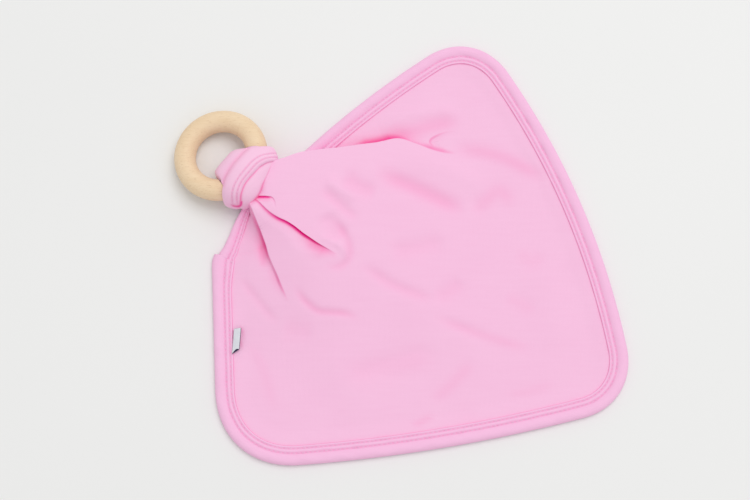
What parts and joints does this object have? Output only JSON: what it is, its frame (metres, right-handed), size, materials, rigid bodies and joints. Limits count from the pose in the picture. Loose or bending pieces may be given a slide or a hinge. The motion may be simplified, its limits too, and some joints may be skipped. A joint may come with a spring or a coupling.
{
  "type": "comfort blanket with teething ring",
  "caption": "Square pink double-layer jersey comfort blanket with a bound edge, one corner drawn through a wooden ring and knotted, laid out flat.",
  "frame": {"origin": "on the table under the middle of the whole object's outer box", "axes": "+Z up from the table, +X to the right and +Y up in the picture, which looks down on the laid-out blanket"},
  "size_m": [0.3318, 0.313, 0.0385],
  "materials": {
    "beech": "smooth sanded beech, satin",
    "jersey": "soft matt cotton jersey",
    "binding": "matt jersey binding with coverstitch",
    "ribbon": "woven satin ribbon, dark back"
  },
  "bodies": {
    "blanket": {"front_panel": "jersey", "back_panel": "jersey", "edge_binding": "binding", "neck_gather": "jersey"},
    "knot": {"ring_loop": "jersey", "knot_wrap": "jersey", "knot_strap": "jersey", "knot_core": "jersey"},
    "ring": {"wooden_ring": "beech"},
    "label": {"side_label": "ribbon"}
  },
  "joints": [
    {"name": "neck_bend", "type": "hinge", "parent": "blanket", "child": "knot", "pos_m": [-0.08719, 0.0327, 0.012], "axis": [0.6428, 0.766, 0], "range_deg": [0, 115], "deforming": ["neck_gather"]},
    {"name": "ring_spin", "type": "hinge", "parent": "knot", "child": "ring", "pos_m": [-0.13054, 0.06907, 0.01269], "axis": [-0.133, 0.1116, 0.9848], "continuous": true},
    {"name": "label_flip", "type": "hinge", "parent": "blanket", "child": "label", "pos_m": [-0.11958, -0.06593, 0.0056], "axis": [0.0471, -0.9989, 0], "range_deg": [-14, 160]}
  ]
}
